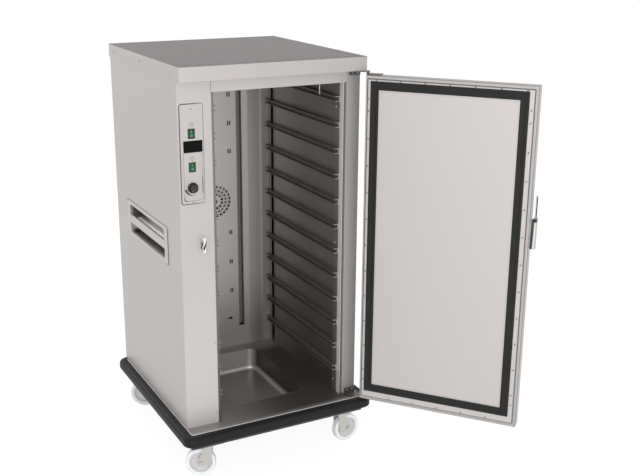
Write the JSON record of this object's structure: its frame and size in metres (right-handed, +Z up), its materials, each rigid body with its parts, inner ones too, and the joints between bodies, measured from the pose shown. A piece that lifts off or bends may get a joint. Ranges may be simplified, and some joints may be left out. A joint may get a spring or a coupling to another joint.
{
  "type": "heated banquet cart",
  "caption": "Insulated stainless steel holding cart with a full door, rails for food pans, warm-air fan, water tank in the floor, bumper and swivel castors.",
  "frame": {"origin": "the point on the ground under the middle of the cabinet body (not counting the door, bumper or the overhang of the top)", "axes": "+Z up, the door opening faces -Y, +X is the hinge side, at the right of someone who looks into the cabinet"},
  "size_m": [1.2944, 1.4259, 1.686],
  "materials": {
    "shell_steel": "satin brushed stainless sheet",
    "cap_steel": "satin brushed stainless sheet, darker from above",
    "liner_steel": "brushed stainless liner sheet",
    "air_panel_steel": "brushed stainless sheet, punched",
    "rack_steel": "pressed stainless channel",
    "tray_steel": "bright drawn stainless sheet",
    "tank_steel": "bright deep-drawn stainless sheet",
    "chassis_paint": "dark grey powder coat",
    "insulation_wool": "mineral wool",
    "handle_steel": "satin stainless pressing",
    "panel_steel": "satin stainless plate",
    "fitting_steel": "satin stainless fittings",
    "screw_steel": "bright screw heads",
    "castor_steel": "zinc-plated pressings",
    "wheel_polymer": "light grey polyurethane tread on a grey hub",
    "bumper_rubber": "black vinyl rubber",
    "gasket_rubber": "black silicone seal",
    "door_skin_steel": "satin brushed stainless sheet",
    "door_panel_steel": "bright brushed stainless sheet",
    "motor_cast": "cast motor housing",
    "fan_aluminium": "pressed fan wheel",
    "heater_steel": "heat-tinted heating tube",
    "display_plastic": "dark display window",
    "black_plastic": "black moulded plastic",
    "green_plastic": "green translucent rocker"
  },
  "bodies": {
    "cart": {"chassis_frame": "chassis_paint", "base_tray": "tray_steel", "water_tank": "tank_steel", "side_panel_left": "shell_steel", "side_panel_right": "shell_steel", "rear_panel": "shell_steel", "top_cover": "cap_steel", "front_header": "shell_steel", "control_column": "shell_steel", "hinge_pillar": "shell_steel", "liner_left": "liner_steel", "liner_right": "liner_steel", "liner_ceiling": "liner_steel", "liner_rear": "liner_steel", "insulation": "insulation_wool", "air_panel": "air_panel_steel", "fan_motor": "motor_cast", "air_heater": "heater_steel", "tank_heater": "heater_steel", "rack_posts_front": "rack_steel", "rack_posts_rear": "rack_steel", "rails_left": "rack_steel", "rails_right": "rack_steel", "bumper_rails": "bumper_rubber", "bumper_corners": "bumper_rubber", "grab_handle_left": "handle_steel", "grab_handle_right": "handle_steel", "control_plate": "panel_steel", "display_window": "display_plastic", "switch_housings": "black_plastic", "thermostat_body": "black_plastic", "temperature_probe": "fitting_steel", "latch_keeper": "fitting_steel", "hinge_bracket_top": "fitting_steel", "hinge_bracket_bottom": "fitting_steel", "body_screws": "screw_steel", "castor_plates": "castor_steel", "castor_bolts": "screw_steel", "power_inlet": "black_plastic"},
    "door": {"door_skin": "door_skin_steel", "door_inner_panel": "door_panel_steel", "door_core": "insulation_wool", "door_gasket": "gasket_rubber", "hinge_arms": "fitting_steel", "latch_housing": "fitting_steel", "door_screws": "screw_steel"},
    "latch_lever": {"latch_lever": "fitting_steel"},
    "fan_wheel": {"fan_wheel": "fan_aluminium"},
    "power_switch": {"power_switch": "green_plastic"},
    "humidity_switch": {"humidity_switch": "green_plastic"},
    "thermostat_knob": {"thermostat_knob": "black_plastic"},
    "castor_fork_fl": {"castor_fork_fl": "castor_steel"},
    "castor_wheel_fl": {"castor_wheel_fl": "wheel_polymer"},
    "castor_fork_fr": {"castor_fork_fr": "castor_steel"},
    "castor_wheel_fr": {"castor_wheel_fr": "wheel_polymer"},
    "castor_fork_rl": {"castor_fork_rl": "castor_steel"},
    "castor_wheel_rl": {"castor_wheel_rl": "wheel_polymer"},
    "castor_fork_rr": {"castor_fork_rr": "castor_steel"},
    "castor_wheel_rr": {"castor_wheel_rr": "wheel_polymer"}
  },
  "joints": [
    {"name": "door_hinge", "type": "hinge", "parent": "cart", "child": "door", "pos_m": [0.396, -0.452, 0.9], "axis": [0, 0, 1], "range_deg": [-129.3, 50.7]},
    {"name": "latch_lever_pivot", "type": "hinge", "parent": "door", "child": "latch_lever", "pos_m": [0.84781, -0.98032, 1.098], "axis": [-0.6334, 0.7738, 0], "range_deg": [0, 35], "stiffness_Nm_per_rad": 0.4, "springref_deg": -17.19},
    {"name": "fan_spin", "type": "hinge", "parent": "cart", "child": "fan_wheel", "pos_m": [0.0365, 0.32, 0.957], "axis": [0, 1, 0], "continuous": true},
    {"name": "thermostat_turn", "type": "hinge", "parent": "cart", "child": "thermostat_knob", "pos_m": [-0.335, -0.412, 1.224], "axis": [0, 1, 0], "range_deg": [0, 270]},
    {"name": "power_rocker", "type": "hinge", "parent": "cart", "child": "power_switch", "pos_m": [-0.335, -0.397, 1.432], "axis": [1, 0, 0], "range_deg": [0, 14]},
    {"name": "humidity_rocker", "type": "hinge", "parent": "cart", "child": "humidity_switch", "pos_m": [-0.335, -0.397, 1.304], "axis": [1, 0, 0], "range_deg": [0, 14]},
    {"name": "castor_swivel_fl", "type": "hinge", "parent": "cart", "child": "castor_fork_fl", "pos_m": [-0.305, -0.418, 0.142], "axis": [0, 0, 1], "continuous": true},
    {"name": "castor_swivel_fr", "type": "hinge", "parent": "cart", "child": "castor_fork_fr", "pos_m": [0.305, -0.418, 0.142], "axis": [0, 0, 1], "continuous": true},
    {"name": "castor_swivel_rl", "type": "hinge", "parent": "cart", "child": "castor_fork_rl", "pos_m": [-0.305, 0.3, 0.142], "axis": [0, 0, 1], "continuous": true},
    {"name": "castor_swivel_rr", "type": "hinge", "parent": "cart", "child": "castor_fork_rr", "pos_m": [0.305, 0.3, 0.142], "axis": [0, 0, 1], "continuous": true},
    {"name": "castor_roll_fl", "type": "hinge", "parent": "castor_fork_fl", "child": "castor_wheel_fl", "pos_m": [-0.33679, -0.4011, 0.0625], "axis": [-0.4695, -0.8829, 0], "continuous": true},
    {"name": "castor_roll_fr", "type": "hinge", "parent": "castor_fork_fr", "child": "castor_wheel_fr", "pos_m": [0.34073, -0.41361, 0.0625], "axis": [-0.1219, 0.9925, 0], "continuous": true},
    {"name": "castor_roll_rl", "type": "hinge", "parent": "castor_fork_rl", "child": "castor_wheel_rl", "pos_m": [-0.33679, 0.3169, 0.0625], "axis": [-0.4695, -0.8829, 0], "continuous": true},
    {"name": "castor_roll_rr", "type": "hinge", "parent": "castor_fork_rr", "child": "castor_wheel_rr", "pos_m": [0.33789, 0.31464, 0.0625], "axis": [-0.4067, 0.9135, 0], "continuous": true}
  ]
}
